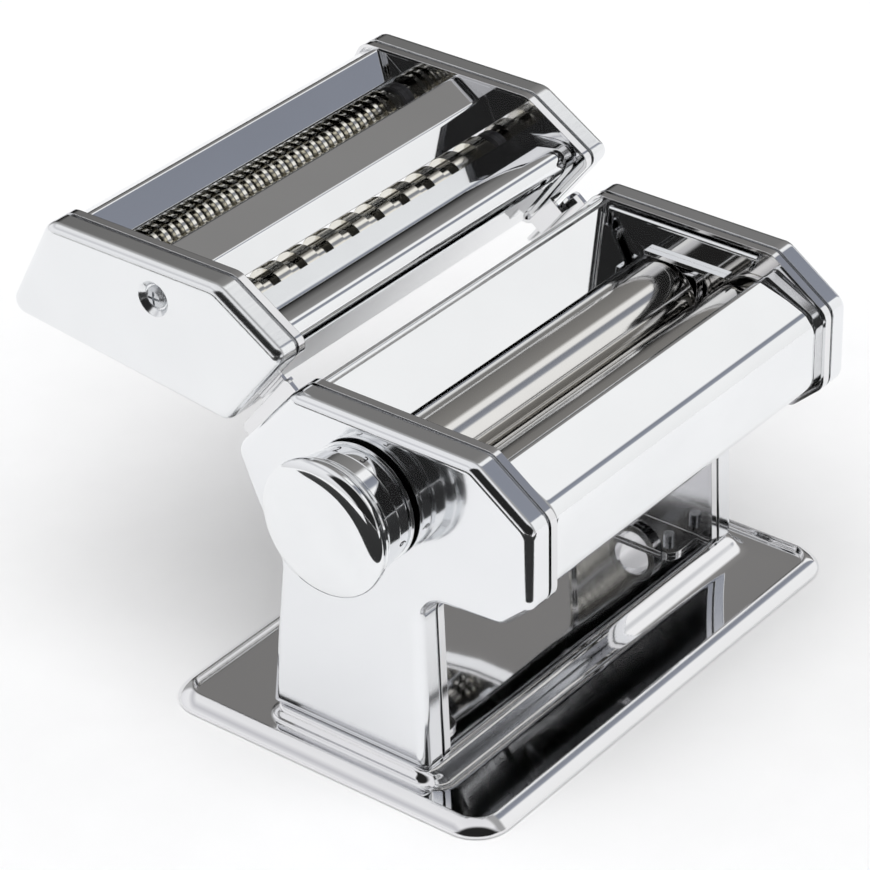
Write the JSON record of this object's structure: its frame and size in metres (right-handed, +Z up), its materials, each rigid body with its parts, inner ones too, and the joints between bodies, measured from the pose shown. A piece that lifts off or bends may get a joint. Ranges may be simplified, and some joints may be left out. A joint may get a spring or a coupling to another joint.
{
  "type": "pasta roller machine with cutter head",
  "caption": "Hand-cranked pasta machine of pressed chromed steel: smooth rollers with a thickness knob on a flat base, and a lift-off noodle-cutter head on its back.",
  "frame": {"origin": "middle of the whole box at the level of the worktop, under the feet", "axes": "+Z up; +X towards the crank side, so the thickness knob is on -X; -Y is the front, where the smooth rollers are, and +Y the cutter head"},
  "size_m": [0.2094, 0.2088, 0.1573],
  "materials": {
    "chrome_cover": "polished",
    "chrome_base": "polished",
    "plated_frame": "polished",
    "roller_steel": "polished",
    "gear_steel": "machined",
    "zinc_fixings": "zinc plated",
    "bearing_plastic": "moulded",
    "knob_chrome": "polished",
    "foot_rubber": "matte"
  },
  "bodies": {
    "stand": {"base_plate": "chrome_base", "rubber_feet": "foot_rubber", "base_screws": "zinc_fixings", "left_frame_plate": "plated_frame", "right_frame_plate": "plated_frame", "left_side_cover": "chrome_cover", "right_side_cover": "chrome_cover", "clamp_tube": "plated_frame", "dial_bush": "bearing_plastic", "front_cover": "chrome_cover", "hopper_back_panel": "chrome_cover", "rear_cover": "chrome_cover", "tie_rods": "zinc_fixings", "front_scraper": "zinc_fixings", "drive_bushes": "bearing_plastic", "left_hopper_guard": "chrome_cover", "right_hopper_guard": "chrome_cover"},
    "drive": {"drive_roller": "roller_steel", "drive_gear": "gear_steel"},
    "carriage": {"left_yoke": "plated_frame", "right_yoke": "plated_frame", "adjustable_scraper": "zinc_fixings"},
    "adjustable": {"adjustable_roller": "roller_steel", "adjustable_gear": "gear_steel"},
    "dial": {"dial_shaft": "zinc_fixings"},
    "knob": {"knob_body": "knob_chrome", "knob_front_disc": "knob_chrome", "number_ring": "knob_chrome"},
    "cutter_head": {"cutter_left_plate": "plated_frame", "cutter_right_plate": "plated_frame", "cutter_left_cover": "chrome_cover", "cutter_right_cover": "chrome_cover", "cutter_cover_screws": "zinc_fixings", "cutter_back_panel": "chrome_cover", "cutter_middle_panel": "chrome_cover", "cutter_front_panel": "chrome_cover", "cutter_tie_rods": "zinc_fixings", "cutter_bushes": "bearing_plastic", "fine_combs": "zinc_fixings", "wide_combs": "zinc_fixings"},
    "wide_front": {"wide_front_roller": "roller_steel", "wide_front_gear": "gear_steel"},
    "wide_rear": {"wide_rear_roller": "roller_steel", "wide_rear_gear": "gear_steel"},
    "fine_front": {"fine_front_roller": "roller_steel", "fine_front_gear": "gear_steel"},
    "fine_rear": {"fine_rear_roller": "roller_steel", "fine_rear_gear": "gear_steel"}
  },
  "joints": [
    {"name": "drive_spin", "type": "hinge", "parent": "stand", "child": "drive", "pos_m": [0.00525, -0.07244, 0.101], "axis": [1, 0, 0], "continuous": true},
    {"name": "thickness_dial", "type": "hinge", "parent": "stand", "child": "dial", "pos_m": [0.00525, -0.04094, 0.102], "axis": [1, 0, 0], "range_deg": [0, 180]},
    {"name": "knob_pull", "type": "slide", "parent": "dial", "child": "knob", "axis": [-1, 0, 0], "range_m": [0, 0.004], "stiffness_N_per_m": 300, "springref_m": -0.002},
    {"name": "roller_gap", "type": "slide", "parent": "stand", "child": "carriage", "axis": [0, -1, 0], "range_m": [0, 0.0026]},
    {"name": "adjustable_spin", "type": "hinge", "parent": "carriage", "child": "adjustable", "pos_m": [0.00525, -0.04144, 0.101], "axis": [1, 0, 0], "continuous": true},
    {"name": "cutter_slide", "type": "slide", "parent": "stand", "child": "cutter_head", "axis": [0, -0.6198, 0.7848], "range_m": [0, 0.045]},
    {"name": "wide_front_spin", "type": "hinge", "parent": "cutter_head", "child": "wide_front", "pos_m": [0.00525, 0.01736, 0.1308], "axis": [1, 0, 0], "continuous": true},
    {"name": "wide_rear_spin", "type": "hinge", "parent": "cutter_head", "child": "wide_rear", "pos_m": [0.00525, 0.03256, 0.1308], "axis": [1, 0, 0], "continuous": true},
    {"name": "fine_rear_spin", "type": "hinge", "parent": "cutter_head", "child": "fine_rear", "pos_m": [0.00525, 0.07336, 0.137], "axis": [1, 0, 0], "continuous": true},
    {"name": "fine_front_spin", "type": "hinge", "parent": "cutter_head", "child": "fine_front", "pos_m": [0.00525, 0.05816, 0.137], "axis": [1, 0, 0], "continuous": true}
  ],
  "couplings": [
    {"joint": "adjustable_spin", "follows": "drive_spin", "ratio": -1},
    {"joint": "thickness_dial", "follows": "roller_gap", "rad_per_m": 1208.3},
    {"joint": "wide_rear_spin", "follows": "wide_front_spin", "ratio": -1},
    {"joint": "fine_front_spin", "follows": "fine_rear_spin", "ratio": -1}
  ]
}
